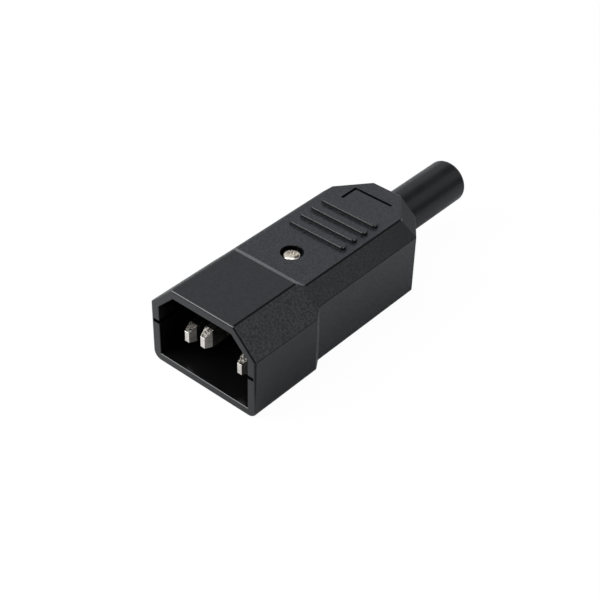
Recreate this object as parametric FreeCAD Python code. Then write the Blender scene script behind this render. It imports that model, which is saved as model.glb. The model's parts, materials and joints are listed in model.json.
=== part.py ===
import FreeCAD, Part
import math
import os

from FreeCAD import Vector

os.makedirs("parts", exist_ok=True)

# Rewirable power plug with three flat pins inside a keyed shroud.
# Millimetres. The front face looks towards -Y, the cord leaves towards +Y, +Z is up.
# Lengths are set out from the front face, and the finished part is centred on its length.

# Socket that takes the mating connector
socket_width = 23.4
socket_height = 16.0
socket_depth = 16.2
socket_key = 4.1  # 45 degree corners on the earth side
mouth_bevel = 0.1  # edge round the socket's mouth

# Shroud round the socket
side_wall = 2.05
face_wall = 1.9  # above and below the socket
shroud_key = 5.65  # 45 degree corners outside
shroud_length = 17.55  # front face to the start of the sloped step
foot_radius = 2.0  # lower corners of the shroud
edge_round = 0.4

# Rear body, stepped in from the shroud all round
side_step = 1.25
top_step = 1.0
base_step = 1.5
step_slope = 30.0  # top and sides, degrees off the length
body_wall = 1.8
tail_run = 5.95  # bevelled rear corners, along the length
tail_inset = 4.75  # and across the width

# Seam between the two shells
seam_gap = 0.85  # open slit along the socket
seam_lip = 0.5  # outer skin that closes the slit
tongue_width = 0.8
tongue_height = 1.0
tongue_end = 2.0  # clear length at both ends of a tongue

# Clearances
sliding = 0.1
snug = 0.05
thread_ease = 0.03

# Pin carrier
carrier_plate = 2.8
carrier_block = 3.6
rib_setback = 1.2  # shell rib behind the carrier plate
rib_thickness = 1.1
rib_reach = 1.0

# Pins
pin_spacing = 14.0
pin_thickness = 2.0
pin_height = 4.0
pin_drop = 2.45  # middle of the two lower pins below the seam
earth_rise = 4.3  # earth pin above the lower pins
pin_recess = 2.85  # lower pin tips behind the front face
earth_recess = 0.15
tip_fall = 1.1  # bevel above the tip
tip_rise = 0.45  # bevel below the tip
tip_run = 2.0
tip_side = 0.45  # bevels at both sides of the tip
tip_side_run = 1.7

# Terminals at the back of the pins
terminal_length = 8.0
terminal_height = 5.4
terminal_margin = 0.1  # block past the blade on its inner side
terminal_gap = 0.4  # block to the side wall
terminal_front = 1.6  # solid metal ahead of the wire hole
wire_radius = 1.25
earth_terminal_gap = 0.9
earth_terminal_length = 7.0
earth_terminal_width = 4.8
strip_thickness = 1.2
strip_height = 3.0
strip_clear = 0.5  # strip to the screw post
strip_cover = 0.3  # strip inside the carrier's back
stop_thickness = 1.4

# Slotted screws of the terminals, and the slot that the clamp's screws share
terminal_shank = 1.3
terminal_head_radius = 1.9
terminal_head_height = 1.6
slot_width = 0.6
slot_depth = 0.8

# Housing screw and its post
post_radius = 2.9
post_gap = 0.15  # carrier to post
housing_shank = 1.3
housing_head_radius = 1.9
housing_head_height = 1.6
housing_head_recess = 0.3
housing_head_bore = 2.4
housing_grip = 5.1  # thread below the seam
crown_bevel = 0.6
cross_width = 0.65
cross_reach = 1.43
cross_depth = 0.9

# Cord clamp
clamp_gap = 2.5  # earth terminal to clamp
clamp_width = 4.0
clamp_thickness = 2.0
clamp_cord_radius = 3.4
clamp_drop = 0.9  # clamp seat below the seam
clamp_overhang = 2.4
clamp_post_radius = 2.2
clamp_post_gap = 1.1  # post to side wall
clamp_shank = 1.1
clamp_shank_length = 5.0
clamp_head_radius = 1.9
clamp_head_height = 1.4
saddle_gap = 0.3

# Strain relief boot
cord_room = 4.6  # clamp to inner web
web_thickness = 1.6
flange_thickness = 2.3
flange_radius = 6.4
rear_wall = 2.65
boot_radius = 4.95
boot_bore = 3.5
boot_reach = 22.95
boot_end_round = 0.9
bore_chamfer = 0.2

# Grip ribs on top
rib_count = 4
grip_pitch = 3.37
grip_start = 7.85  # first rib behind the housing screw
grip_half_length = 7.25
grip_width = 1.7
grip_height = 0.7
grip_bevel = 0.13

# Engraved corner line near the rear of the top
line_width = 0.65
line_depth = 0.6
line_setback = 4.2  # from the rear face
line_left = 5.3
line_right = 4.6
line_leg = 4.9

# Working values
overrun = 1.0  # cutters past the faces they cut
root = 0.4  # added features into the wall that carries them

half_socket = socket_width / 2
half_shroud = half_socket + side_wall
shroud_height = socket_height + 2 * face_wall
seam_z = shroud_height / 2
half_rear = half_shroud - side_step
rear_low = base_step
rear_high = shroud_height - top_step
slope = math.tan(math.radians(step_slope))
step_end = shroud_length + side_step / slope  # sides and base step in together
key_sum = half_shroud + shroud_height - shroud_key  # x + z on the keyed corner faces

half_room = half_rear - body_wall
room_low = rear_low + body_wall
room_high = rear_high - body_wall

carrier_shoulder = socket_depth + carrier_plate
carrier_rear = carrier_shoulder + carrier_block
rib_front = carrier_shoulder + rib_setback
rib_rear = rib_front + rib_thickness
post_place = carrier_rear + post_gap + post_radius
terminal_rear = carrier_rear + terminal_length
earth_front = terminal_rear + earth_terminal_gap
earth_rear = earth_front + earth_terminal_length
clamp_front = earth_rear + clamp_gap
clamp_rear = clamp_front + clamp_width
clamp_middle = (clamp_front + clamp_rear) / 2
web_front = clamp_rear + cord_room
web_rear = web_front + web_thickness
wall_front = web_rear + flange_thickness + 2 * snug
body_length = wall_front + rear_wall
overall_length = body_length + boot_reach

pin_x = pin_spacing / 2
pin_level = seam_z - pin_drop
earth_level = pin_level + earth_rise
terminal_inner = pin_x - pin_thickness / 2 - terminal_margin
terminal_outer = half_room - terminal_gap
terminal_x = (terminal_inner + terminal_outer) / 2
terminal_low = pin_level - terminal_height / 2
terminal_top = pin_level + terminal_height / 2
earth_low = earth_level - terminal_height / 2
earth_top = earth_level + terminal_height / 2
strip_x = post_radius + strip_clear + strip_thickness / 2
strip_y = carrier_rear - strip_cover - strip_thickness / 2
strip_top = earth_level + pin_height / 2
strip_low = strip_top - strip_height
housing_seat = rear_high - housing_head_recess - housing_head_height
clamp_seat = seam_z - clamp_drop
clamp_post_x = half_room - clamp_post_gap - clamp_post_radius
grip_first = post_place + grip_start
line_rear = body_length - line_setback

up = Vector(0, 0, 1)
along = Vector(0, 1, 0)


def block(x, y, z):
    # x, y and z are pairs of low and high values
    size = [high - low for low, high in (x, y, z)]
    return Part.makeBox(*size, Vector(x[0], y[0], z[0]))


def lengthwise(outline, start, end):
    # outline of (x, z) points, drawn out along the length
    points = [Vector(x, start, z) for x, z in outline + outline[:1]]
    return Part.Face(Part.makePolygon(points)).extrude(along * (end - start))


def sideways(outline, half):
    # outline of (y, z) points, drawn out across the width
    points = [Vector(-half, y, z) for y, z in outline + outline[:1]]
    return Part.Face(Part.makePolygon(points)).extrude(Vector(2 * half, 0, 0))


def upright(outline, low, high):
    # outline of (x, y) points, drawn up
    points = [Vector(x, y, low) for x, y in outline + outline[:1]]
    return Part.Face(Part.makePolygon(points)).extrude(up * (high - low))


def pillar(radius, x, y, low, high):
    return Part.makeCylinder(radius, high - low, Vector(x, y, low), up)


def barrel(radius, x, z, start, end):
    return Part.makeCylinder(radius, end - start, Vector(x, start, z), along)


def keyed(half, low, high, key, start, end):
    # the socket's form: a rectangle with its two upper corners cut at 45 degrees
    outline = [
        (-half, low),
        (half, low),
        (half, high - key),
        (half - key, high),
        (key - half, high),
        (-half, high - key),
    ]
    return lengthwise(outline, start, end)


def room(inset, start, end):
    # the hollow behind the carrier, drawn in by an inset
    half = half_room - inset
    high = room_high - inset
    key = half + high - key_sum + (body_wall + inset) * math.sqrt(2)
    return keyed(half, room_low + inset, high, key, start, end)


def tail_bevel(side):
    # carries the keyed corner face round the bevelled rear corner
    run = Vector(-side * tail_inset, tail_run, 0).normalize()
    out = Vector(side * tail_run, tail_inset, 0).normalize()
    reach = 2 * (tail_run + tail_inset)
    corner = Vector(side * half_rear, body_length - tail_run, key_sum - half_rear)
    start = corner - run * reach
    triangle = [
        start - out * reach + up * reach,
        start + out * reach + up * reach,
        start + out * reach - up * reach,
    ]
    face = Part.Face(Part.makePolygon(triangle + triangle[:1]))
    return face.extrude(run * 2 * reach)


def outer_body():
    section = keyed(half_shroud, 0, shroud_height, shroud_key, 0, body_length)
    feet = [e for e in section.Edges if e.BoundBox.ZMax < overrun and e.BoundBox.YLength > overrun]
    section = section.makeFillet(foot_radius, feet)
    profile = sideways(
        [
            (0, 0),
            (shroud_length, 0),
            (step_end, rear_low),
            (body_length, rear_low),
            (body_length, rear_high),
            (shroud_length + top_step / slope, rear_high),
            (shroud_length, shroud_height),
            (0, shroud_height),
        ],
        half_shroud,
    )
    right = [
        (half_shroud, 0),
        (half_shroud, shroud_length),
        (half_rear, step_end),
        (half_rear, body_length - tail_run),
        (half_rear - tail_inset, body_length),
    ]
    left = [(-x, y) for x, y in reversed(right)]
    body = section.common(profile).common(upright(right + left, 0, shroud_height))
    for side in (-1, 1):
        body = body.cut(tail_bevel(side))
    body = body.removeSplitter()
    return body.makeFillet(edge_round, body.Edges)


def mouth():
    # slanted edge where the mating connector enters the socket
    grow = 2 * mouth_bevel
    low = face_wall - grow
    high = face_wall + socket_height + grow
    key = socket_key + grow * (2 - math.sqrt(2))
    plug = keyed(half_socket + grow, low, high, key, -overrun, mouth_bevel)
    inner = [e for e in plug.Edges if e.BoundBox.YMin > 0]
    return plug.makeChamfer(grow, inner)


def hollow():
    # everything taken out of the closed housing
    socket_top = face_wall + socket_height
    socket = keyed(half_socket, face_wall, socket_top, socket_key, -overrun, carrier_shoulder)
    rib = room(0, rib_front, rib_rear).cut(room(rib_reach, rib_front, rib_rear))
    chamber = barrel(flange_radius + sliding, 0, seam_z, web_rear, wall_front)
    exit_hole = barrel(boot_radius + sliding, 0, seam_z, web_front - overrun, body_length + overrun)
    space = socket.fuse(room(0, carrier_shoulder, web_front).cut(rib))
    space = space.fuse([chamber, exit_hole, mouth()])
    for side in (-1, 1):
        edges = sorted((side * half_socket, side * (half_shroud - seam_lip)))
        slit = block(edges, (-overrun, socket_depth), (seam_z - seam_gap / 2, seam_z + seam_gap / 2))
        space = space.fuse(slit)
    return space


def tongue(side, ease):
    # locating tongue on the inner half of the side wall
    edges = sorted((side * half_room, side * (half_room + tongue_width + ease)))
    span = (carrier_rear + tongue_end - ease, web_front - tongue_end + ease)
    return block(edges, span, (seam_z - root, seam_z + tongue_height + ease))


def grip_rib(place):
    radius = grip_width / 2
    reach = grip_half_length - radius
    low = rear_high - root
    high = rear_high + grip_height
    rib = block((-reach, reach), (place - radius, place + radius), (low, high))
    for side in (-1, 1):
        rib = rib.fuse(pillar(radius, side * reach, place, low, high))
    rib = rib.removeSplitter()
    crown = [e for e in rib.Edges if e.BoundBox.ZMin > rear_high]
    return rib.makeChamfer(grip_bevel, crown)


def corner_line():
    depth = (rear_high - line_depth, rear_high + overrun)
    cross = block((-line_left, line_right), (line_rear - line_width, line_rear), depth)
    leg = block((-line_left, line_width - line_left), (line_rear - line_leg, line_rear), depth)
    return cross.fuse(leg)


def upper_shell(housing):
    top = block((-half_shroud, half_shroud), (0, body_length), (seam_z, shroud_height))
    shell = housing.common(top)
    post = pillar(post_radius, 0, post_place, seam_z, room_high + root)
    shell = shell.fuse([post] + [grip_rib(grip_first + i * grip_pitch) for i in range(rib_count)])
    head_bore = pillar(housing_head_bore, 0, post_place, housing_seat, shroud_height)
    shank_bore = pillar(housing_shank + sliding, 0, post_place, seam_z - overrun, housing_seat)
    rebates = [tongue(side, sliding) for side in (-1, 1)]
    return shell.cut([head_bore, shank_bore, corner_line()] + rebates).removeSplitter()


def lower_shell(housing):
    base = block((-half_shroud, half_shroud), (0, body_length), (0, seam_z))
    floor = room_low - root
    added = [tongue(side, 0) for side in (-1, 1)]
    added.append(pillar(post_radius, 0, post_place, floor, seam_z))
    for side in (-1, 1):
        width = sorted((side * terminal_inner, side * (half_room + root)))
        pad = (carrier_rear + stop_thickness, terminal_rear - stop_thickness)
        stop = (terminal_rear + snug, terminal_rear + snug + stop_thickness)
        added.append(block(width, pad, (floor, terminal_low)))
        added.append(block(width, stop, (floor, pin_level - wire_radius)))
        added.append(pillar(clamp_post_radius, side * clamp_post_x, clamp_middle, floor, clamp_seat))
    rest_y = (earth_front + stop_thickness, earth_rear - stop_thickness)
    rest_x = (strip_x - stop_thickness / 2, strip_x + stop_thickness / 2)
    added.append(block(rest_x, rest_y, (floor, earth_low)))
    saddle_half = clamp_post_x - clamp_post_radius - saddle_gap
    saddle = block((-saddle_half, saddle_half), (clamp_front, clamp_rear), (floor, clamp_seat))
    trough = barrel(clamp_cord_radius, 0, seam_z, clamp_front - overrun, clamp_rear + overrun)
    added.append(saddle.cut(trough))
    shell = housing.common(base).fuse(added)
    holes = [pillar(housing_shank + thread_ease, 0, post_place, seam_z - housing_grip - overrun, seam_z)]
    for side in (-1, 1):
        depth = clamp_seat - clamp_shank_length - snug
        holes.append(pillar(clamp_shank + thread_ease, side * clamp_post_x, clamp_middle, depth, clamp_seat))
    return shell.cut(holes).removeSplitter()


def blade(x, level, tip, end):
    # flat pin with its tip bevelled on all four sides
    half = pin_thickness / 2
    tall = pin_height / 2
    profile = [
        (tip, level - tall + tip_rise),
        (tip + tip_run, level - tall),
        (end, level - tall),
        (end, level + tall),
        (tip + tip_run, level + tall),
        (tip, level + tall - tip_fall),
    ]
    plan = [
        (tip_side - half, tip),
        (half - tip_side, tip),
        (half, tip + tip_side_run),
        (half, end),
        (-half, end),
        (-half, tip + tip_side_run),
    ]
    body = sideways(profile, half).common(upright(plan, level - tall, level + tall))
    body.translate(Vector(x, 0, 0))
    return body


def drilled(terminal, x, level, start, end):
    # wire hole from the rear and screw hole from the top
    wire = barrel(wire_radius, x, level, start + terminal_front, end + overrun)
    middle = (start + terminal_front + end) / 2
    screw = pillar(terminal_shank + thread_ease, x, middle, level, level + terminal_height)
    return terminal.cut([wire, screw]).removeSplitter()


def lower_pin(side):
    body = blade(side * pin_x, pin_level, pin_recess, carrier_rear + root)
    width = sorted((side * terminal_inner, side * terminal_outer))
    body = body.fuse(block(width, (carrier_rear, terminal_rear), (terminal_low, terminal_top)))
    return drilled(body, side * terminal_x, pin_level, carrier_rear, terminal_rear)


def earth_pin():
    # the tail jogs round the screw post to a terminal of its own
    half = strip_thickness / 2
    levels = (strip_low, strip_top)
    body = blade(0, earth_level, earth_recess, strip_y + half)
    across = block((-pin_thickness / 2, strip_x + half), (strip_y - half, strip_y + half), levels)
    back = block((strip_x - half, strip_x + half), (strip_y - half, earth_front + root), levels)
    width = (strip_x - earth_terminal_width / 2, strip_x + earth_terminal_width / 2)
    terminal = block(width, (earth_front, earth_rear), (earth_low, earth_top))
    body = body.fuse([across, back, terminal])
    return drilled(body, strip_x, earth_level, earth_front, earth_rear)


def pin_carrier():
    plate = keyed(
        half_socket - sliding,
        face_wall + sliding,
        face_wall + socket_height - sliding,
        socket_key,
        socket_depth,
        carrier_shoulder,
    )
    body = plate.fuse(room(sliding, carrier_shoulder, carrier_rear))
    groove = (rib_front - snug, rib_rear + snug)
    cuts = [room(sliding, *groove).cut(room(rib_reach + sliding, *groove))]
    places = [(-pin_x, pin_level), (pin_x, pin_level), (0, earth_level)]
    for x, level in places:
        half = pin_thickness / 2 + snug
        tall = pin_height / 2 + snug
        length = (socket_depth - overrun, carrier_rear + overrun)
        cuts.append(block((x - half, x + half), length, (level - tall, level + tall)))
    half = strip_thickness / 2 + snug
    width = (-pin_thickness / 2 - snug, strip_x + half)
    cuts.append(block(width, (strip_y - half, carrier_rear + overrun), (strip_low - snug, strip_top + snug)))
    return body.cut(cuts).removeSplitter()


def slotted_screw(x, y, seat, shank_radius, shank_length, head_radius, head_height):
    top = seat + head_height
    slot = block(
        (x - head_radius, x + head_radius),
        (y - slot_width / 2, y + slot_width / 2),
        (top - slot_depth, top + overrun),
    )
    shank = pillar(shank_radius, x, y, seat - shank_length, seat)
    head = pillar(head_radius, x, y, seat, top)
    return shank.fuse(head).cut(slot).removeSplitter()


def terminal_screw(x, y, seat):
    head = (terminal_head_radius, terminal_head_height)
    return slotted_screw(x, y, seat, terminal_shank, terminal_height / 2, *head)


def clamp_screw(side):
    seat = clamp_seat + clamp_thickness
    length = clamp_thickness + clamp_shank_length
    head = (clamp_head_radius, clamp_head_height)
    return slotted_screw(side * clamp_post_x, clamp_middle, seat, clamp_shank, length, *head)


def housing_screw():
    # bevelled head with a cross recess
    top = housing_seat + housing_head_height
    head = pillar(housing_head_radius, 0, post_place, housing_seat, top)
    crown = [e for e in head.Edges if e.BoundBox.ZMin > housing_seat + snug]
    head = head.makeChamfer(crown_bevel, crown[:1])
    shank = pillar(housing_shank, 0, post_place, seam_z - housing_grip, housing_seat)
    half = cross_width / 2
    depth = (top - cross_depth, top + overrun)
    long_way = (post_place - cross_reach, post_place + cross_reach)
    short_way = (post_place - half, post_place + half)
    arms = [
        block((-cross_reach, cross_reach), short_way, depth),
        block((-half, half), long_way, depth),
    ]
    return shank.fuse(head).cut(arms).removeSplitter()


def cord_clamp():
    # flat ears with seats for the screw heads, and an arch over the cord between them
    arch = clamp_cord_radius + clamp_thickness
    top = clamp_seat + clamp_thickness
    ears = clamp_post_x + clamp_overhang
    body = block((-ears, ears), (clamp_front, clamp_rear), (clamp_seat, top))
    body = body.fuse(barrel(arch, 0, seam_z, clamp_front, clamp_rear))
    below = block((-ears, ears), (clamp_front, clamp_rear), (seam_z - arch, clamp_seat))
    cord = barrel(clamp_cord_radius, 0, seam_z, clamp_front - overrun, clamp_rear + overrun)
    cuts = [below, cord]
    for side in (-1, 1):
        x = side * clamp_post_x
        cuts.append(pillar(clamp_shank + sliding, x, clamp_middle, clamp_seat - overrun, top))
        cuts.append(pillar(clamp_head_radius + sliding, x, clamp_middle, top, seam_z + arch))
    return body.cut(cuts).removeSplitter()


def strain_relief_boot():
    flange_start = web_rear + snug
    flange = barrel(flange_radius, 0, seam_z, flange_start, flange_start + flange_thickness)
    tube = barrel(boot_radius, 0, seam_z, web_front, overall_length)
    end = [e for e in tube.Edges if e.BoundBox.YMin > overall_length - snug]
    tube = tube.makeFillet(boot_end_round, end)
    bore = barrel(boot_bore, 0, seam_z, web_front - overrun, overall_length + overrun)
    body = tube.fuse(flange).cut(bore).removeSplitter()
    bore_edge = [
        e
        for e in body.Edges
        if e.BoundBox.YMin > overall_length - snug and e.BoundBox.XLength < 2 * boot_bore + snug
    ]
    return body.makeChamfer(bore_chamfer, bore_edge)


terminal_middle = (carrier_rear + terminal_front + terminal_rear) / 2
earth_middle = (earth_front + terminal_front + earth_rear) / 2
housing = outer_body().cut(hollow())

pieces = {
    "upper_shell": upper_shell(housing),
    "lower_shell": lower_shell(housing),
    "pin_carrier": pin_carrier(),
    "line_pin": lower_pin(-1),
    "neutral_pin": lower_pin(1),
    "earth_pin": earth_pin(),
    "line_terminal_screw": terminal_screw(-terminal_x, terminal_middle, terminal_top),
    "neutral_terminal_screw": terminal_screw(terminal_x, terminal_middle, terminal_top),
    "earth_terminal_screw": terminal_screw(strip_x, earth_middle, earth_top),
    "housing_screw": housing_screw(),
    "cord_clamp": cord_clamp(),
    "clamp_screw_left": clamp_screw(-1),
    "clamp_screw_right": clamp_screw(1),
    "strain_relief_boot": strain_relief_boot(),
}

centre = Vector(0, -overall_length / 2, 0)
for name, shape in pieces.items():
    shape.translate(centre)
    box = shape.BoundBox
    size = f"{box.XLength:.2f} x {box.YLength:.2f} x {box.ZLength:.2f}"
    print(f"{name}: {size} mm, {shape.Volume:.1f} mm3, solids {len(shape.Solids)}, valid {shape.isValid()}")
    shape.exportStep(f"parts/{name}.step")
print(f"overall length {overall_length:.2f}, body {body_length:.2f}, housing screw at {post_place:.2f}")
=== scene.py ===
import json
import math

import bmesh
import bpy
from mathutils import Matrix, Vector


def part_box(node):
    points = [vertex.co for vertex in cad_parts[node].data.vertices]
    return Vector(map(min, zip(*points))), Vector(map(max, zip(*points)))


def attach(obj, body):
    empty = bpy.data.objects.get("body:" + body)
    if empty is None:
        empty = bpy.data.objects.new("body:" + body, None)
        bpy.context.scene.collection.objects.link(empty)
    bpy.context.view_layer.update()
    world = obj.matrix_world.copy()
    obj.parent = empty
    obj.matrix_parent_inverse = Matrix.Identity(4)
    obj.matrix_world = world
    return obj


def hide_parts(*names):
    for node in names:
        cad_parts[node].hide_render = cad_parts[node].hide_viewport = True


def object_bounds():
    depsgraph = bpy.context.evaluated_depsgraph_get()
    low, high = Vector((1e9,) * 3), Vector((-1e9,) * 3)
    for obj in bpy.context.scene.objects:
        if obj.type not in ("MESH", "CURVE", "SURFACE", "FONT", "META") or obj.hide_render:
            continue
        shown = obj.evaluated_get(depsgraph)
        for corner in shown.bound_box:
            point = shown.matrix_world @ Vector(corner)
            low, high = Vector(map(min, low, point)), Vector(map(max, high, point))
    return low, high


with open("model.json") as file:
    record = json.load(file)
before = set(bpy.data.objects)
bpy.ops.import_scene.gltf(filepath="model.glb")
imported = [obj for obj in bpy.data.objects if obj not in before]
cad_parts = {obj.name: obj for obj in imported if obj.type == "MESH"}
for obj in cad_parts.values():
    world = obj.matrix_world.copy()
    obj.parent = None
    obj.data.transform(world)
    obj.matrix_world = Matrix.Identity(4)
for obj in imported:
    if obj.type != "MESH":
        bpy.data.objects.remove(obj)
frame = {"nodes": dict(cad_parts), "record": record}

cadLow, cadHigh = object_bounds()
nodes = frame["nodes"]
scene = bpy.context.scene
scene.view_settings.view_transform = "Standard"
print("frame loaded with", len(nodes), "nodes")


# small helpers for node trees and meshes

crisp = 0.00002  # width in metres over which a sharp mask fades
mergeGap = 1e-6  # points closer than this are made one


def addNode(tree, kind, inputs=None, **settings):
    node = tree.nodes.new(kind)
    for name, value in settings.items():
        setattr(node, name, value)
    for name, value in (inputs or {}).items():
        if isinstance(value, bpy.types.NodeSocket):
            tree.links.new(value, node.inputs[name])
        else:
            node.inputs[name].default_value = value
    return node


def combine(tree, operation, first, second):
    return addNode(tree, "ShaderNodeMath", {0: first, 1: second}, operation=operation).outputs[0]


def allOf(tree, *masks):
    result = masks[0]
    for mask in masks[1:]:
        result = combine(tree, "MULTIPLY", result, mask)
    return result


def anyOf(tree, *masks):
    result = masks[0]
    for mask in masks[1:]:
        result = combine(tree, "MAXIMUM", result, mask)
    return result


def magnitude(tree, value):
    return addNode(tree, "ShaderNodeMath", {0: value}, operation="ABSOLUTE").outputs[0]


def rampBetween(tree, value, start, end, low=0.0, high=1.0):
    inputs = {"Value": value, "From Min": start, "From Max": end, "To Min": low, "To Max": high}
    node = addNode(tree, "ShaderNodeMapRange", inputs, interpolation_type="SMOOTHSTEP")
    return node.outputs["Result"]


def band(tree, value, low, high, soft):
    rise = rampBetween(tree, value, low - soft, low)
    fall = rampBetween(tree, value, high, high + soft, 1.0, 0.0)
    return allOf(tree, rise, fall)


def below(tree, value, limit):
    return rampBetween(tree, value, limit, limit + crisp, 1.0, 0.0)


def reachAlong(tree, place, axis):
    node = addNode(tree, "ShaderNodeVectorMath", {0: place, 1: axis}, operation="DOT_PRODUCT")
    return node.outputs["Value"]


def mixColour(tree, mask, first, second):
    node = addNode(tree, "ShaderNodeMix", {0: mask, 6: first, 7: second}, data_type="RGBA")
    return node.outputs[2]


def mixValue(tree, mask, first, second):
    node = addNode(tree, "ShaderNodeMix", {0: mask, 2: first, 3: second}, data_type="FLOAT")
    return node.outputs[0]


def newGroup(name, inputs, outputs):
    tree = bpy.data.node_groups.new(name, "ShaderNodeTree")
    for label, value in inputs.items():
        socket = tree.interface.new_socket(label, in_out="INPUT", socket_type="NodeSocketFloat")
        socket.default_value = value
    for label in outputs:
        tree.interface.new_socket(label, in_out="OUTPUT", socket_type="NodeSocketFloat")
    return tree, tree.nodes.new("NodeGroupInput"), tree.nodes.new("NodeGroupOutput")


def useGroup(tree, group, **inputs):
    node = tree.nodes.new("ShaderNodeGroup")
    node.node_tree = group
    for name, value in inputs.items():
        node.inputs[name].default_value = value
    return node.outputs


def newMaterial(name):
    material = bpy.data.materials.new(name)
    material.use_nodes = True
    return material, material.node_tree, material.node_tree.nodes["Principled BSDF"]


def addBump(tree, shader, height, depth):
    bump = addNode(tree, "ShaderNodeBump", {"Height": height, "Strength": 1.0, "Distance": depth})
    tree.links.new(bump.outputs["Normal"], shader.inputs["Normal"])


def addObject(name, bm):
    mesh = bpy.data.meshes.new(name)
    bm.to_mesh(mesh)
    bm.free()
    piece = bpy.data.objects.new(name, mesh)
    scene.collection.objects.link(piece)
    return piece


# camera, solved from the shroud's corners in the picture and then fitted to the whole outline

view = {
    "azimuth": 40.0,
    "elevation": 38.64,
    "roll": 1.605,
    "distance": 0.27931,
    "target": (-0.00122, -0.0096, 0.0035),
    "lens": 80.93,
    "nearest": 0.01,
    "farthest": 20.0,
}


def makeCamera():
    azimuth, elevation, roll = (math.radians(view[k]) for k in ("azimuth", "elevation", "roll"))
    flat = math.cos(elevation)
    back = Vector((math.sin(azimuth) * flat, -math.cos(azimuth) * flat, math.sin(elevation)))
    right = Vector((math.cos(azimuth), math.sin(azimuth), 0))
    up = back.cross(right)
    across = right * math.cos(roll) + up * math.sin(roll)
    upright = up * math.cos(roll) - right * math.sin(roll)
    data = bpy.data.cameras.new("productCamera")
    data.lens = view["lens"]
    data.clip_start = view["nearest"]
    data.clip_end = view["farthest"]
    camera = bpy.data.objects.new("productCamera", data)
    place = Matrix((across, upright, back)).transposed().to_4x4()
    place.translation = Vector(view["target"]) + back * view["distance"]
    camera.matrix_world = place
    scene.collection.objects.link(camera)
    scene.camera = camera


makeCamera()
print("camera placed")


# floor, room and lamps

studio = {
    "floorSize": 6.0,
    "floorColour": (0.58, 0.58, 0.58, 1),
    "floorRough": 0.9,
    "whiteLevel": 1.03,
    "whiteSeen": 0.94,  # share of plain white in the floor as the eye sees it
    # a painted pool of light: for gloss, the floor turns whiter towards the key lamp
    "paintedPoolShare": 0.4,  # and as gloss mirrors it, on the side of the key lamp
    "paintedPoolAxis": (-0.6, -0.8, 0.0),
    "paintedPoolStart": 0.015,
    "paintedPoolEnd": 0.045,
    # a painted dark reflection: a patch of floor before the front corner turns dark for gloss alone
    "darkReflectionAxis": (0.6, -0.8, 0.0),
    "darkReflectionStart": 0.0465,
    "darkReflectionEnd": 0.065,
    "darkReflectionSoft": 0.003,
    "darkReflectionShare": 0.8,
    "tentLevel": 0.64,
    "tentColour": (0.96, 0.985, 1.03, 1),
}

# parts of the white tent with a light level of their own, each fading out between two angles
tentZones = {
    "backCorner": {"towards": (0.8, 0.6, 0.04), "level": 0.08, "inner": 12.0, "outer": 28.0},
    "zenith": {"towards": (-0.15, -0.1, 0.98), "level": 1.8, "inner": 14.0, "outer": 32.0},
    "topSeam": {"towards": (-0.05, 0.64, 0.765), "level": 0.03, "inner": 13.0, "outer": 21.0},
    "lensSide": {"towards": (0.55, -0.7, 0.46), "level": 0.04, "inner": 28.0, "outer": 44.0},
    "backGlow": {"towards": (-0.5, 0.86, 0.06), "level": 1.7, "inner": 6.0, "outer": 13.0},
    "bootShade": {"towards": (-0.63, 0.7, 0.33), "level": 0.3, "inner": 5.0, "outer": 14.0},
    "frontLow": {"towards": (-0.47, -0.87, 0.1), "level": 0.08, "inner": 11.0, "outer": 19.0},
}

lamps = {
    "keySoftbox": {
        "towards": (-0.502, -0.624, 0.598),
        "distance": 0.3,
        "size": 0.19,
        "power": 0.72,
    },
    "sideSpark": {
        "towards": (0.62, -0.2, 0.76),
        "distance": 0.8,
        "size": 0.14,
        "power": 0.5,
    },
}


def makeFloor():
    bm = bmesh.new()
    bmesh.ops.create_grid(bm, x_segments=1, y_segments=1, size=studio["floorSize"] / 2)
    floor = addObject("studioFloor", bm)
    material, tree, shader = newMaterial("paleFloor")
    shader.inputs["Base Color"].default_value = studio["floorColour"]
    shader.inputs["Roughness"].default_value = studio["floorRough"]
    shader.inputs["Specular IOR Level"].default_value = 0.0
    rays = addNode(tree, "ShaderNodeLightPath").outputs
    seen = combine(tree, "MULTIPLY", rays["Is Camera Ray"], studio["whiteSeen"])
    gloss = anyOf(tree, rays["Is Glossy Ray"], rays["Is Transmission Ray"])
    place = addNode(tree, "ShaderNodeTexCoord").outputs["Object"]
    # painted pool of light on the floor towards the key lamp, seen by gloss alone
    reach = reachAlong(tree, place, studio["paintedPoolAxis"])
    ends = studio["paintedPoolStart"], studio["paintedPoolEnd"]
    paintedPool = rampBetween(tree, reach, *ends, 0.0, studio["paintedPoolShare"])
    # painted dark reflection on the floor before the front corner, seen by gloss alone
    reach = reachAlong(tree, place, studio["darkReflectionAxis"])
    ends = studio["darkReflectionStart"], studio["darkReflectionEnd"]
    darkReflection = allOf(tree, gloss, band(tree, reach, *ends, studio["darkReflectionSoft"]), studio["darkReflectionShare"])
    share = anyOf(tree, seen, allOf(tree, gloss, paintedPool), darkReflection)
    level = combine(tree, "SUBTRACT", studio["whiteLevel"], darkReflection)
    white = addNode(tree, "ShaderNodeEmission", {"Color": (1, 1, 1, 1), "Strength": level})
    layers = {0: share, 1: shader.outputs[0], 2: white.outputs[0]}
    mixed = addNode(tree, "ShaderNodeMixShader", layers)
    tree.links.new(mixed.outputs[0], tree.nodes["Material Output"].inputs["Surface"])
    floor.data.materials.append(material)


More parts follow.
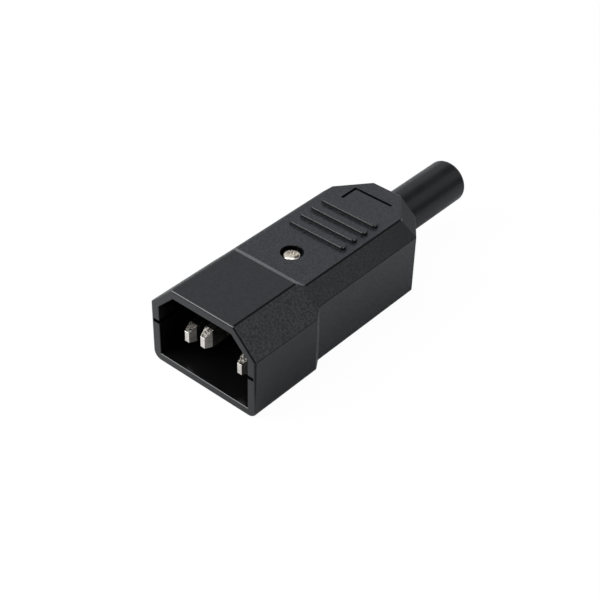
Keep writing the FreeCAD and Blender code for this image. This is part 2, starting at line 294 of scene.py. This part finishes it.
def makeRoom():
    world = bpy.data.worlds.new("studioRoom")
    world.use_nodes = True
    scene.world = world
    tree = world.node_tree
    tree.nodes.clear()
    place = addNode(tree, "ShaderNodeTexCoord").outputs["Generated"]
    level = studio["tentLevel"]
    for zone in tentZones.values():
        middle = Vector(zone["towards"]).normalized()
        outer, inner = (math.cos(math.radians(zone[k])) for k in ("outer", "inner"))
        mask = rampBetween(tree, reachAlong(tree, place, middle), outer, inner)
        level = mixValue(tree, mask, level, zone["level"])
    room = addNode(tree, "ShaderNodeBackground", {"Color": studio["tentColour"], "Strength": level})
    white = addNode(tree, "ShaderNodeBackground", {"Color": (1, 1, 1, 1), "Strength": 1.0})
    seen = addNode(tree, "ShaderNodeLightPath").outputs["Is Camera Ray"]
    mixed = addNode(tree, "ShaderNodeMixShader", {0: seen, 1: room.outputs[0], 2: white.outputs[0]})
    addNode(tree, "ShaderNodeOutputWorld", {"Surface": mixed.outputs[0]})


def makeLamp(name, plan):
    data = bpy.data.lights.new(name, "AREA")
    data.shape = "SQUARE"
    data.size = plan["size"]
    data.energy = plan["power"]
    lamp = bpy.data.objects.new(name, data)
    direction = Vector(plan["towards"]).normalized()
    lamp.location = (cadLow + cadHigh) / 2 + direction * plan["distance"]
    lamp.rotation_mode = "QUATERNION"
    lamp.rotation_quaternion = direction.to_track_quat("Z", "Y")
    scene.collection.objects.link(lamp)


makeFloor()
makeRoom()
for lampName, lampPlan in lamps.items():
    makeLamp(lampName, lampPlan)
print("studio lit by", len(lamps), "lamps")


# shared shader effects

mould = {"scale": 4000.0, "detail": 3.0, "roughness": 0.6, "shade": (0.3, 0.7)}
handling = {"scale": 90.0, "detail": 4.0, "distortion": 0.6, "dull": (0.35, 0.7)}
plating = {"scale": 3000.0, "stretch": 0.04, "detail": 2.0, "shade": (0.3, 0.7)}


def makeMouldGrain():
    # fine eroded texture of a steel mould, as height and as light and dark
    tree, given, made = newGroup("mouldGrain", {"Scale": mould["scale"]}, ("Height", "Shade"))
    place = addNode(tree, "ShaderNodeTexCoord").outputs["Object"]
    pattern = {"Vector": place, "Scale": given.outputs["Scale"]}
    detail = {"Detail": mould["detail"], "Roughness": mould["roughness"]}
    grain = addNode(tree, "ShaderNodeTexNoise", {**pattern, **detail})
    pits = addNode(tree, "ShaderNodeTexVoronoi", pattern, feature="SMOOTH_F1")
    height = combine(tree, "ADD", grain.outputs["Fac"], pits.outputs["Distance"])
    tree.links.new(height, made.inputs["Height"])
    shade = rampBetween(tree, grain.outputs["Fac"], *mould["shade"])
    tree.links.new(shade, made.inputs["Shade"])
    return tree


def makeHandling():
    # broad soft patches where hands and packing have left the finish a little duller
    tree, given, made = newGroup("handlingMarks", {"Scale": handling["scale"]}, ("Dull",))
    place = addNode(tree, "ShaderNodeTexCoord").outputs["Object"]
    pattern = {"Vector": place, "Scale": given.outputs["Scale"]}
    detail = {"Detail": handling["detail"], "Distortion": handling["distortion"]}
    patches = addNode(tree, "ShaderNodeTexNoise", {**pattern, **detail})
    dull = rampBetween(tree, patches.outputs["Fac"], *handling["dull"])
    tree.links.new(dull, made.inputs["Dull"])
    return tree


def makePlating():
    # fine lines left by drawing and stamping under the plate
    inputs = {"Scale": plating["scale"], "Stretch": plating["stretch"]}
    tree, given, made = newGroup("platingLines", inputs, ("Height", "Shade"))
    place = addNode(tree, "ShaderNodeTexCoord").outputs["Object"]
    ratios = {"X": 1.0, "Y": given.outputs["Stretch"], "Z": 1.0}
    stretch = addNode(tree, "ShaderNodeCombineXYZ", ratios).outputs[0]
    drawn = addNode(tree, "ShaderNodeVectorMath", {0: place, 1: stretch}, operation="MULTIPLY")
    scale = given.outputs["Scale"]
    pattern = {"Vector": drawn.outputs[0], "Scale": scale, "Detail": plating["detail"]}
    lines = addNode(tree, "ShaderNodeTexNoise", pattern)
    tree.links.new(lines.outputs["Fac"], made.inputs["Height"])
    shade = rampBetween(tree, lines.outputs["Fac"], *plating["shade"])
    tree.links.new(shade, made.inputs["Shade"])
    return tree


mouldGrain = makeMouldGrain()
handlingMarks = makeHandling()
platingLines = makePlating()


# moulded housing

housing = {
    "shroudColour": (0.011, 0.012, 0.0155, 1),
    "rearColour": (0.0285, 0.03, 0.0365, 1),
    "speckle": 0.85,  # how far the grain darkens the smooth faces
    # painted highlight: the sloped step faces are pale grey
    "stepHighlightColour": (0.088, 0.09, 0.095, 1),
    "grainDark": (0.001, 0.001, 0.0012, 1),
    "grainLight": (0.042, 0.0435, 0.047, 1),
    "grainRear": (0.025, 0.026, 0.029, 1),
    # painted shade: the keyed faces darken towards the back
    "grainBackShade": (0.009, 0.0094, 0.011, 1),
    "grainStart": -0.008,
    "grainEnd": 0.012,
    # painted shade on the polished edges, the engraved line, the screw's well and the rib flanks
    "paintedShadeColour": (0.001, 0.001, 0.001, 1),
    "socketShadeColour": (0.0014, 0.0014, 0.0015, 1),
    "fineGrain": 5200.0,
    "coarseGrain": 2300.0,
    "fineDepth": 0.000005,
    "coarseDepth": 0.00002,
    "smooth": 0.3,
    "dull": 0.36,
    "edgeSmooth": 0.2,
    "keyedRough": 0.56,
    "stepRough": 0.42,
    "flankRough": 1.0,
    "stepStart": -0.02205,
    "stepEnd": -0.02032,
    "shroudEdge": -0.0117,  # half width less height, where a top face meets its keyed faces
    "rearEdge": -0.0097,
    "edgeHalf": 0.00042,
    "edgeDrop": 0.00012,
    "edgeStart": -0.0385,
    "edgeEnd": 0.0098,
    "edgeFade": 0.001,
    "edgeFull": 0.5,  # share of the fall at which the polish is full
    "socketHalf": 0.01172,  # just outside the socket's walls
    "socketLow": 0.00188,
    "socketHigh": 0.01792,
    "socketEnd": -0.0232,
    "socketKey": 0.0256,  # half width plus height just outside the socket's keyed walls
    "slitHalf": 0.01327,
    "slitLow": 0.00946,
    "slitHigh": 0.01034,
    "plateau": 0.01878,  # just below the top of the rear body
    "ribStart": 0.01884,
    "ribEnd": 0.01888,
    "sunkHalf": 0.0056,  # the engraved line and the screw's well lie inside these limits
    "sunkStart": -0.0186,
    "sunkEnd": 0.0127,
    # how the faces of each zone lean, as limits of their normal; a third number softens the ends
    "keyedTilt": (0.5, 0.8, 0.05),
    "straightTilt": (0.15, 0.3),
    "upperTilt": (0.78, 0.975, 0.03),
    "lowerTilt": (0.12, 0.55, 0.05),
    "frontTilt": (-0.93, -0.25, 0.05),
    "cornerTilt": (0.1, 0.25),
    "slopeTilt": (0.3, 0.38),
    "stepTilt": (0.8, 0.95, 0.02),
    "lipTilt": (0.1, 0.3),
    "rimTilt": (-0.95, -0.9),
    "ribFrontTilt": (-0.8, -0.64),
    "ribBackTilt": (0.1, 0.2),
}


def makeHousingPlastic():
    material, tree, shader = newMaterial("mouldedBlack")
    place = addNode(tree, "ShaderNodeTexCoord").outputs
    facing = addNode(tree, "ShaderNodeSeparateXYZ", {0: place["Normal"]}).outputs
    spot = addNode(tree, "ShaderNodeSeparateXYZ", {0: place["Object"]}).outputs
    outward = magnitude(tree, facing["X"])
    lengthwise = magnitude(tree, facing["Y"])
    width = magnitude(tree, spot["X"])

    # keyed corner faces carry the coarser grain
    tilt = housing["keyedTilt"]
    keyed = allOf(tree, band(tree, outward, *tilt), band(tree, facing["Z"], *tilt))
    fine = useGroup(tree, mouldGrain, Scale=housing["fineGrain"])
    coarse = useGroup(tree, mouldGrain, Scale=housing["coarseGrain"])

    # rounded edges beside the keyed corners come out of the mould polished, and are painted dark as
    # a line of painted shade
    straight = rampBetween(tree, lengthwise, *housing["straightTilt"], 1.0, 0.0)
    upper = band(tree, facing["Z"], *housing["upperTilt"])
    lower = band(tree, facing["Z"], *housing["lowerTilt"])
    rounded = allOf(tree, anyOf(tree, upper, lower), straight)
    front = band(tree, facing["Y"], *housing["frontTilt"])
    corner = allOf(tree, front, rampBetween(tree, outward, *housing["cornerTilt"]))

    # the top faces fall away softly where they meet the keyed corners
    behind = rampBetween(tree, spot["Y"], housing["stepStart"], housing["stepEnd"])
    across = combine(tree, "SUBTRACT", width, spot["Z"])
    edge = mixValue(tree, behind, housing["shroudEdge"], housing["rearEdge"])
    away = magnitude(tree, combine(tree, "SUBTRACT", across, edge))
    stretch = band(tree, spot["Y"], housing["edgeStart"], housing["edgeEnd"], housing["edgeFade"])
    near = allOf(tree, rampBetween(tree, away, 0.0, housing["edgeHalf"], 1.0, 0.0), stretch)
    line = anyOf(tree, rounded, corner, rampBetween(tree, near, 0.0, housing["edgeFull"]))

    # the sloped step, the front edges and the ribs are polished too
    past = rampBetween(tree, spot["Y"], housing["stepEnd"], housing["sunkStart"])
    ribbed = allOf(tree, past, rampBetween(tree, spot["Z"], housing["ribStart"], housing["ribEnd"]))
    slope = rampBetween(tree, facing["Y"], *housing["slopeTilt"])
    step = allOf(tree, slope, band(tree, facing["Z"], *housing["stepTilt"]))
    lip = allOf(tree, front, rampBetween(tree, facing["Z"], *housing["lipTilt"]))
    polished = anyOf(tree, line, step, lip, ribbed)
    fineShare = housing["fineDepth"] / housing["coarseDepth"]
    shallow = rampBetween(tree, polished, 0.0, 1.0, fineShare, 0.0)
    rugged = rampBetween(tree, line, 0.0, 1.0, 1.0, 0.0)
    height = combine(tree, "MULTIPLY", fine["Height"], shallow)
    height = mixValue(tree, keyed, height, combine(tree, "MULTIPLY", coarse["Height"], rugged))
    dip = combine(tree, "MULTIPLY", near, housing["edgeDrop"] / housing["coarseDepth"])
    addBump(tree, shader, combine(tree, "SUBTRACT", height, dip), housing["coarseDepth"])

    # the walls of the socket and of the slits beside it are smooth and painted near black, a
    # painted shade of the hollows
    keySum = combine(tree, "ADD", spot["Z"], width)
    hollow = allOf(
        tree,
        band(tree, spot["Z"], housing["socketLow"], housing["socketHigh"], crisp),
        below(tree, width, housing["socketHalf"]),
        below(tree, keySum, housing["socketKey"]),
    )
    slit = allOf(
        tree,
        band(tree, spot["Z"], housing["slitLow"], housing["slitHigh"], crisp),
        below(tree, width, housing["slitHalf"]),
    )
    offRim = rampBetween(tree, facing["Y"], *housing["rimTilt"])
    ahead = below(tree, spot["Y"], housing["socketEnd"])
    socket = allOf(tree, anyOf(tree, hollow, slit), ahead, offRim)

    # the engraved line, the screw's well and the flanks of the ribs get painted shade as well
    sunk = allOf(
        tree,
        below(tree, spot["Z"], housing["plateau"]),
        below(tree, width, housing["sunkHalf"]),
        band(tree, spot["Y"], housing["sunkStart"], housing["sunkEnd"], crisp),
    )
    fronts = rampBetween(tree, facing["Y"], *housing["ribFrontTilt"], 1.0, 0.0)
    backs = rampBetween(tree, facing["Y"], *housing["ribBackTilt"])
    flanks = allOf(tree, ribbed, anyOf(tree, fronts, backs))

    # colours, from the smooth faces to the painted shade of the darkest hollows
    speckle = combine(tree, "MULTIPLY", coarse["Shade"], housing["speckle"])
    smooth = mixColour(tree, behind, housing["shroudColour"], housing["rearColour"])
    smooth = mixColour(tree, speckle, smooth, housing["grainDark"])
    # painted shade: the keyed faces darken towards the back
    rearmost = rampBetween(tree, spot["Y"], housing["grainStart"], housing["grainEnd"])
    grainy = mixColour(tree, behind, housing["grainLight"], housing["grainRear"])
    grainy = mixColour(tree, rearmost, grainy, housing["grainBackShade"])
    grainy = mixColour(tree, coarse["Shade"], housing["grainDark"], grainy)
    sideStep = allOf(tree, slope, band(tree, outward, *housing["stepTilt"]))
    colour = mixColour(tree, keyed, smooth, grainy)
    # painted highlight on the sloped steps at the top and the sides
    colour = mixColour(tree, anyOf(tree, step, sideStep), colour, housing["stepHighlightColour"])
    # painted shade on the polished edges, the recesses and the rib flanks
    colour = mixColour(tree, anyOf(tree, line, sunk, flanks), colour, housing["paintedShadeColour"])
    # painted shade inside the socket and the slits
    colour = mixColour(tree, socket, colour, housing["socketShadeColour"])
    tree.links.new(colour, shader.inputs["Base Color"])

    marks = useGroup(tree, handlingMarks)
    rough = rampBetween(tree, marks["Dull"], 0.0, 1.0, housing["smooth"], housing["dull"])
    rough = mixValue(tree, keyed, rough, housing["keyedRough"])
    rough = mixValue(tree, polished, rough, housing["edgeSmooth"])
    rough = mixValue(tree, step, rough, housing["stepRough"])
    rough = mixValue(tree, flanks, rough, housing["flankRough"])
    tree.links.new(rough, shader.inputs["Roughness"])
    return material


# pin carrier and clamp

carrier = {
    "colour": (0.006, 0.006, 0.0065, 1),
    "grainColour": (0.004, 0.004, 0.0045, 1),
    "grain": 4000.0,
    "depth": 0.00001,
    "smooth": 0.55,
    "dull": 0.7,
}


def makeCarrierPlastic():
    material, tree, shader = newMaterial("carrierBlack")
    grain = useGroup(tree, mouldGrain, Scale=carrier["grain"])
    addBump(tree, shader, grain["Height"], carrier["depth"])
    colour = mixColour(tree, grain["Shade"], carrier["grainColour"], carrier["colour"])
    tree.links.new(colour, shader.inputs["Base Color"])
    marks = useGroup(tree, handlingMarks)
    rough = rampBetween(tree, marks["Dull"], 0.0, 1.0, carrier["smooth"], carrier["dull"])
    tree.links.new(rough, shader.inputs["Roughness"])
    return material


# rubber boot

boot = {
    "colour": (0.0125, 0.0128, 0.0142, 1),
    "grainColour": (0.0075, 0.0077, 0.0088, 1),
    "grain": 6500.0,
    "depth": 0.000005,
    "smooth": 0.27,
    "dull": 0.33,
    "gloss": 0.33,
    "marks": 140.0,
}


def makeBootRubber():
    material, tree, shader = newMaterial("bootRubber")
    grain = useGroup(tree, mouldGrain, Scale=boot["grain"])
    addBump(tree, shader, grain["Height"], boot["depth"])
    colour = mixColour(tree, grain["Shade"], boot["grainColour"], boot["colour"])
    tree.links.new(colour, shader.inputs["Base Color"])
    marks = useGroup(tree, handlingMarks, Scale=boot["marks"])
    rough = rampBetween(tree, marks["Dull"], 0.0, 1.0, boot["smooth"], boot["dull"])
    tree.links.new(rough, shader.inputs["Roughness"])
    shader.inputs["Specular IOR Level"].default_value = boot["gloss"]
    return material


# nickel plate on pins and screws

pinPlate = {
    "bright": (0.88, 0.85, 0.8, 1),
    "shade": (0.72, 0.69, 0.64, 1),
    # dark end of the mottle, partly painted shade of the socket wall the slopes face
    "tornDarkShade": (0.02, 0.019, 0.017, 1),
    "tornLight": (0.34, 0.32, 0.29, 1),
    "tornGrain": 3600.0,
    "lines": 3000.0,
    "stretch": 0.05,
    "smooth": 0.2,
    "dull": 0.26,
    "tipRough": 0.52,
    "besideRough": 0.5,
    "mottle": (0.35, 0.8),
    "forwardTilt": (-0.2, -0.12),  # limits of the normal on the slopes of the tip
    "tornTilt": (0.75, 0.95, 0.05),
    "besideTilt": (0.85, 0.985, 0.01),
}

screwPlate = {
    "bright": (0.93, 0.89, 0.81, 1),
    "shade": (0.7, 0.62, 0.5, 1),
    "lines": 2500.0,
    "stretch": 1.0,
    "smooth": 0.2,
    "dull": 0.3,
}

plate = {"depth": 0.000004, "marks": 420.0}  # the same on pins and screws


def makePlate(name, plan):
    material, tree, shader = newMaterial(name)
    lines = useGroup(tree, platingLines, Scale=plan["lines"], Stretch=plan["stretch"])
    addBump(tree, shader, lines["Height"], plate["depth"])
    marks = useGroup(tree, handlingMarks, Scale=plate["marks"])
    colour = mixColour(tree, lines["Shade"], plan["shade"], plan["bright"])
    rough = rampBetween(tree, marks["Dull"], 0.0, 1.0, plan["smooth"], plan["dull"])
    shader.inputs["Metallic"].default_value = 1.0
    tree.links.new(colour, shader.inputs["Base Color"])
    tree.links.new(rough, shader.inputs["Roughness"])
    return material, tree, shader, colour, rough


def makePinPlate():
    # a pin's tip is torn and mottled on the slopes above and below, their dark partly painted
    # shade, and dull on those beside
    material, tree, shader, colour, rough = makePlate("pinNickel", pinPlate)
    normal = addNode(tree, "ShaderNodeTexCoord").outputs["Normal"]
    facing = addNode(tree, "ShaderNodeSeparateXYZ", {0: normal}).outputs
    forward = rampBetween(tree, facing["Y"], *pinPlate["forwardTilt"], 1.0, 0.0)
    upright, outward = magnitude(tree, facing["Z"]), magnitude(tree, facing["X"])
    torn = allOf(tree, band(tree, upright, *pinPlate["tornTilt"]), forward)
    beside = allOf(tree, band(tree, outward, *pinPlate["besideTilt"]), forward)
    grain = useGroup(tree, mouldGrain, Scale=pinPlate["tornGrain"])
    mottle = rampBetween(tree, grain["Shade"], *pinPlate["mottle"])
    # mottle on the slopes, its dark partly painted shade
    tornMottleAndShade = mixColour(tree, mottle, pinPlate["tornDarkShade"], pinPlate["tornLight"])
    tree.links.new(mixColour(tree, torn, colour, tornMottleAndShade), shader.inputs["Base Color"])
    rough = mixValue(tree, torn, rough, pinPlate["tipRough"])
    rough = mixValue(tree, beside, rough, pinPlate["besideRough"])
    tree.links.new(rough, shader.inputs["Roughness"])
    return material


finishes = {
    "housing_plastic": makeHousingPlastic(),
    "carrier_plastic": makeCarrierPlastic(),
    "boot_rubber": makeBootRubber(),
    "pin_metal": makePinPlate(),
    "screw_steel": makePlate("screwNickel", screwPlate)[0],
}

for part in frame["record"]["subparts"]:
    nodes[part["node"]].material_slots[0].material = finishes[part["material_slot"]]
print("finishes on", len(nodes), "nodes")


def standsFor(piece, node, slot):
    piece.data.materials.clear()
    piece.data.materials.append(finishes[slot])
    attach(piece, "root")
    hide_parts(node)


# pins with their stamped edges broken

pinEdge = {"width": 0.00012, "segments": 2, "turn": 20.0, "flat": 1.0}  # both angles in degrees


def makePin(node):
    bm = bmesh.new()
    bm.from_mesh(nodes[node].data)
    bmesh.ops.remove_doubles(bm, verts=bm.verts, dist=mergeGap)
    flat, turn = math.radians(pinEdge["flat"]), math.radians(pinEdge["turn"])
    bmesh.ops.dissolve_limit(bm, angle_limit=flat, verts=bm.verts, edges=bm.edges)
    edges = [e for e in bm.edges if len(e.link_faces) == 2 and e.calc_face_angle() > turn]
    bmesh.ops.bevel(
        bm,
        geom=edges,
        offset=pinEdge["width"],
        offset_type="OFFSET",
        affect="EDGES",
        segments=pinEdge["segments"],
        profile=0.5,
        material=-1,
        clamp_overlap=True,
    )
    standsFor(addObject(node + "_plated", bm), node, "pin_metal")


for pinNode in ("line_pin", "neutral_pin", "earth_pin"):
    makePin(pinNode)
print("pins plated")


# housing screw with a domed head, a tapered cross recess and a thread

screw = {
    "headHeight": 0.0016,
    "rimHeight": 0.00116,  # side below the crown
    "shoulder": 0.94,  # share of the head's radius where the crown starts
    "crownSteps": 12,
    "crownPower": 2.3,  # above 2 the crown is flatter than an ellipse
    "coreRadius": 0.00102,
    "crestRadius": 0.0013,
    "tipRadius": 0.0006,
    "tipLength": 0.001,
    "pitch": 0.0009,
    "threadRoot": 0.96,  # share of the core's radius, so that the thread is rooted in it
    "threadShares": (0.26, 0.34, 0.6),  # of the pitch, at the crest's two edges and the foot
    "stepsPerTurn": 28,
    "rings": 72,
    "crossReach": 0.0017,
    "crossWidth": 0.00125,
    "crossDepth": 0.0005,
    "crossTaper": 0.35,
    "crossTurn": 40.0,
    "sharpTurn": 32.0,  # edges that bend more than this stay sharp
}


def screwProfile(headRadius, seat, tip):
    core, rim = screw["coreRadius"], seat + screw["rimHeight"]
    points = [(0, tip), (screw["tipRadius"], tip), (core, tip + screw["tipLength"]), (core, seat)]
    shoulder = headRadius * screw["shoulder"]
    points += [(headRadius, seat), (shoulder, rim)]
    rise = screw["headHeight"] - screw["rimHeight"]
    bend = 2 / screw["crownPower"]
    for i in range(1, screw["crownSteps"]):
        turn = math.pi / 2 * i / screw["crownSteps"]
        points.append((shoulder * math.cos(turn) ** bend, rim + rise * math.sin(turn) ** bend))
    return points + [(0, seat + screw["headHeight"])]


def turnScrew(bm, profile, middle):
    verts = [bm.verts.new((middle.x + r, middle.y, z)) for r, z in profile]
    edges = [bm.edges.new(pair) for pair in zip(verts, verts[1:])]
    bmesh.ops.spin(
        bm,
        geom=verts + edges,
        cent=middle,
        axis=(0, 0, 1),
        angle=2 * math.pi,
        steps=screw["rings"],
        use_merge=True,
    )
    bmesh.ops.remove_doubles(bm, verts=bm.verts, dist=mergeGap)
    bmesh.ops.recalc_face_normals(bm, faces=bm.faces)


def crossArm(turn, middle, top):
    bm = bmesh.new()
    bmesh.ops.create_cube(bm, size=1.0)
    bottom = [v for v in bm.verts if v.co.z < 0]
    bmesh.ops.scale(bm, vec=(screw["crossTaper"], screw["crossTaper"], 1), verts=bottom)
    size = (2 * screw["crossReach"], screw["crossWidth"], 2 * screw["crossDepth"])
    bmesh.ops.scale(bm, vec=size, verts=bm.verts)
    bmesh.ops.rotate(bm, cent=(0, 0, 0), matrix=Matrix.Rotation(turn, 3, "Z"), verts=bm.verts)
    bmesh.ops.translate(bm, vec=(middle.x, middle.y, top), verts=bm.verts)
    return addObject("crossArm", bm)


def addThread(bm, middle, start, end):
    inner = screw["coreRadius"] * screw["threadRoot"]
    crest, pitch = screw["crestRadius"], screw["pitch"]
    crestStart, crestEnd, foot = screw["threadShares"]
    section = [(inner, 0), (crest, crestStart), (crest, crestEnd), (inner, foot)]
    verts = [bm.verts.new((middle.x + r, middle.y, start + share * pitch)) for r, share in section]
    ring = [bm.edges.new((a, b)) for a, b in zip(verts, verts[1:] + verts[:1])]
    bm.faces.new(verts)
    turns = int((end - start) / pitch - 1)
    made = bmesh.ops.spin(
        bm,
        geom=verts + ring,
        cent=middle,
        axis=(0, 0, 1),
        dvec=(0, 0, pitch / screw["stepsPerTurn"]),
        angle=2 * math.pi * turns,
        steps=screw["stepsPerTurn"] * turns,
    )
    last = [item for item in made["geom_last"] if isinstance(item, bmesh.types.BMEdge)]
    bmesh.ops.contextual_create(bm, geom=last)
    bmesh.ops.recalc_face_normals(bm, faces=bm.faces)


def makeHousingScrew(node):
    low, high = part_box(node)
    middle = Vector(((low.x + high.x) / 2, (low.y + high.y) / 2, 0))
    seat = high.z - screw["headHeight"]
    bm = bmesh.new()
    turnScrew(bm, screwProfile((high.x - low.x) / 2, seat, low.z), middle)
    blank = addObject("screwBlank", bm)
    arms = [crossArm(math.radians(screw["crossTurn"] + side), middle, high.z) for side in (0, 90)]
    for arm in arms:
        cut = blank.modifiers.new("recess", "BOOLEAN")
        cut.operation = "DIFFERENCE"
        cut.solver = "EXACT"
        cut.object = arm
    depsgraph = bpy.context.evaluated_depsgraph_get()
    cutMesh = bpy.data.meshes.new_from_object(blank.evaluated_get(depsgraph))
    for spare in arms + [blank]:
        bpy.data.objects.remove(spare)
    bm = bmesh.new()
    bm.from_mesh(cutMesh)
    addThread(bm, middle, low.z + screw["tipLength"], seat)
    sharp = math.radians(screw["sharpTurn"])
    for face in bm.faces:
        face.smooth = True
    for edge in bm.edges:
        edge.smooth = len(edge.link_faces) == 2 and edge.calc_face_angle() < sharp
    standsFor(addObject("housing_screw_turned", bm), node, "screw_steel")


makeHousingScrew("housing_screw")
print("housing screw turned")
